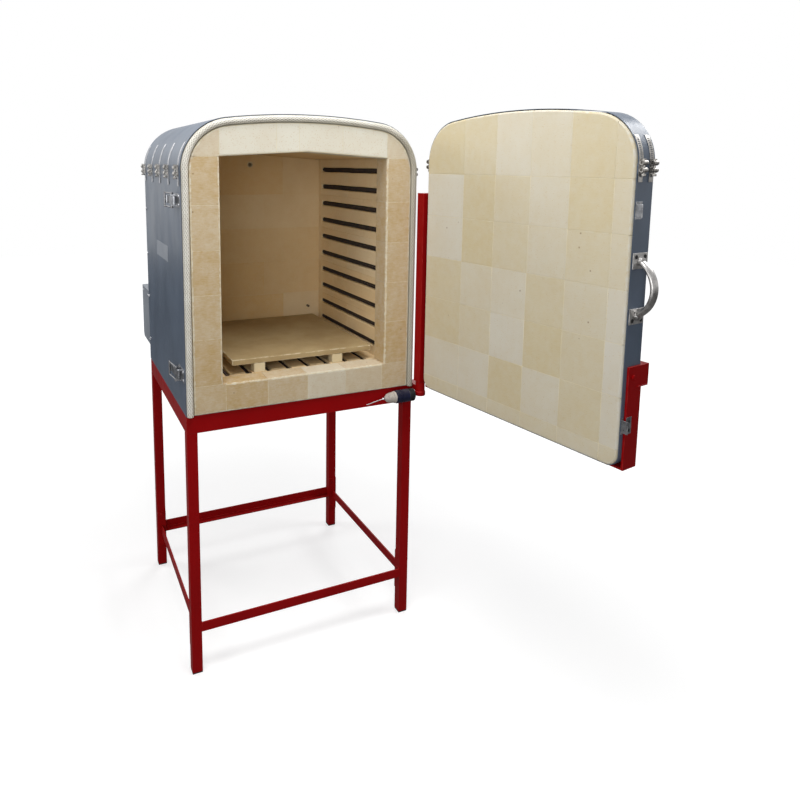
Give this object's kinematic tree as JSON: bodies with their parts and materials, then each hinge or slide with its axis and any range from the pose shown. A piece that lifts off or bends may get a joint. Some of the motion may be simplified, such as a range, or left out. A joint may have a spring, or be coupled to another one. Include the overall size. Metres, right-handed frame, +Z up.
{
  "type": "electric kiln",
  "caption": "Front-loading electric kiln: brick chamber with element grooves in an arched sheet jacket on a square-tube stand, with a brick door on a swinging hinge post, open.",
  "frame": {"origin": "centre of the stand's footprint, on the floor", "axes": "+X to the right seen from the front, +Y to the back, +Z up"},
  "size_m": [0.8871, 1.4875, 1.5253],
  "materials": {
    "red_paint": "satin",
    "jacket_paint": "satin",
    "galvanised": "satin",
    "firebrick": "matte",
    "element_wire": "matte",
    "shelf_ceramic": "matte",
    "fibre": "matte",
    "bright_steel": "satin",
    "black_plastic": "matte",
    "navy_plastic": "satin",
    "white_rubber": "matte"
  },
  "bodies": {
    "kiln": {"front_left_leg": "red_paint", "front_right_leg": "red_paint", "rear_left_leg": "red_paint", "rear_right_leg": "red_paint", "front_rail": "red_paint", "rear_rail": "red_paint", "left_rail": "red_paint", "right_rail": "red_paint", "front_stretcher": "red_paint", "rear_stretcher": "red_paint", "side_stretchers": "red_paint", "foot_plugs": "black_plastic", "stand_bolts": "bright_steel", "base_pan": "galvanised", "floor_bricks": "firebrick", "sill_bricks": "firebrick", "left_wall_bricks": "firebrick", "right_wall_bricks": "firebrick", "back_wall_bricks": "firebrick", "roof_bricks": "firebrick", "left_jamb_bricks": "firebrick", "right_jamb_bricks": "firebrick", "lintel_bricks": "firebrick", "left_elements": "element_wire", "right_elements": "element_wire", "floor_elements": "element_wire", "thermocouple": "shelf_ceramic", "vent_tube": "shelf_ceramic", "fibre_blanket": "fibre", "left_casing": "jacket_paint", "right_casing": "jacket_paint", "hood": "jacket_paint", "back_panel": "jacket_paint", "rope_gasket": "fibre", "hood_straps": "bright_steel", "strap_clamps": "bright_steel", "terminal_box": "jacket_paint", "cable_gland": "black_plastic", "kiln_shelf": "shelf_ceramic", "shelf_props": "shelf_ceramic", "latch_bases": "bright_steel", "switch_body": "navy_plastic", "switch_boot": "white_rubber", "hinge_bracket": "red_paint", "hinge_spindle": "red_paint"},
    "door": {"door_bricks": "firebrick", "door_rim": "jacket_paint", "door_hood": "jacket_paint", "door_back_panel": "jacket_paint", "door_clamps": "bright_steel", "door_handle": "bright_steel", "strike_plates": "bright_steel", "carrier_beam": "red_paint", "door_cradle": "red_paint", "hinge_post": "red_paint"},
    "upper_lever": {"upper_latch_lever": "bright_steel"},
    "upper_bail": {"upper_latch_bail": "bright_steel"},
    "lower_lever": {"lower_latch_lever": "bright_steel"},
    "lower_bail": {"lower_latch_bail": "bright_steel"},
    "whisker": {"switch_whisker": "bright_steel"}
  },
  "joints": [
    {"name": "door_swing", "type": "hinge", "parent": "kiln", "child": "door", "pos_m": [0.35, -0.323, 0.738], "axis": [0, 0, 1], "range_deg": [-98.7, 71.3]},
    {"name": "upper_lever_swing", "type": "hinge", "parent": "kiln", "child": "upper_lever", "pos_m": [-0.345, -0.262, 1.298], "axis": [0, 0, 1], "range_deg": [0, 110]},
    {"name": "upper_bail_swing", "type": "hinge", "parent": "upper_lever", "child": "upper_bail", "pos_m": [-0.349, -0.248, 1.298], "axis": [0, 0, 1], "range_deg": [0, 66]},
    {"name": "lower_lever_swing", "type": "hinge", "parent": "kiln", "child": "lower_lever", "pos_m": [-0.345, -0.262, 0.843], "axis": [0, 0, 1], "range_deg": [0, 110]},
    {"name": "lower_bail_swing", "type": "hinge", "parent": "lower_lever", "child": "lower_bail", "pos_m": [-0.349, -0.248, 0.843], "axis": [0, 0, 1], "range_deg": [0, 66]},
    {"name": "whisker_tilt", "type": "hinge", "parent": "kiln", "child": "whisker", "pos_m": [0.23, -0.319, 0.716], "axis": [0, 1, 0], "range_deg": [-15, 15], "stiffness_Nm_per_rad": 0.02}
  ],
  "couplings": [
    {"joint": "upper_bail_swing", "follows": "upper_lever_swing", "ratio": 0.6},
    {"joint": "lower_bail_swing", "follows": "lower_lever_swing", "ratio": 0.6}
  ]
}
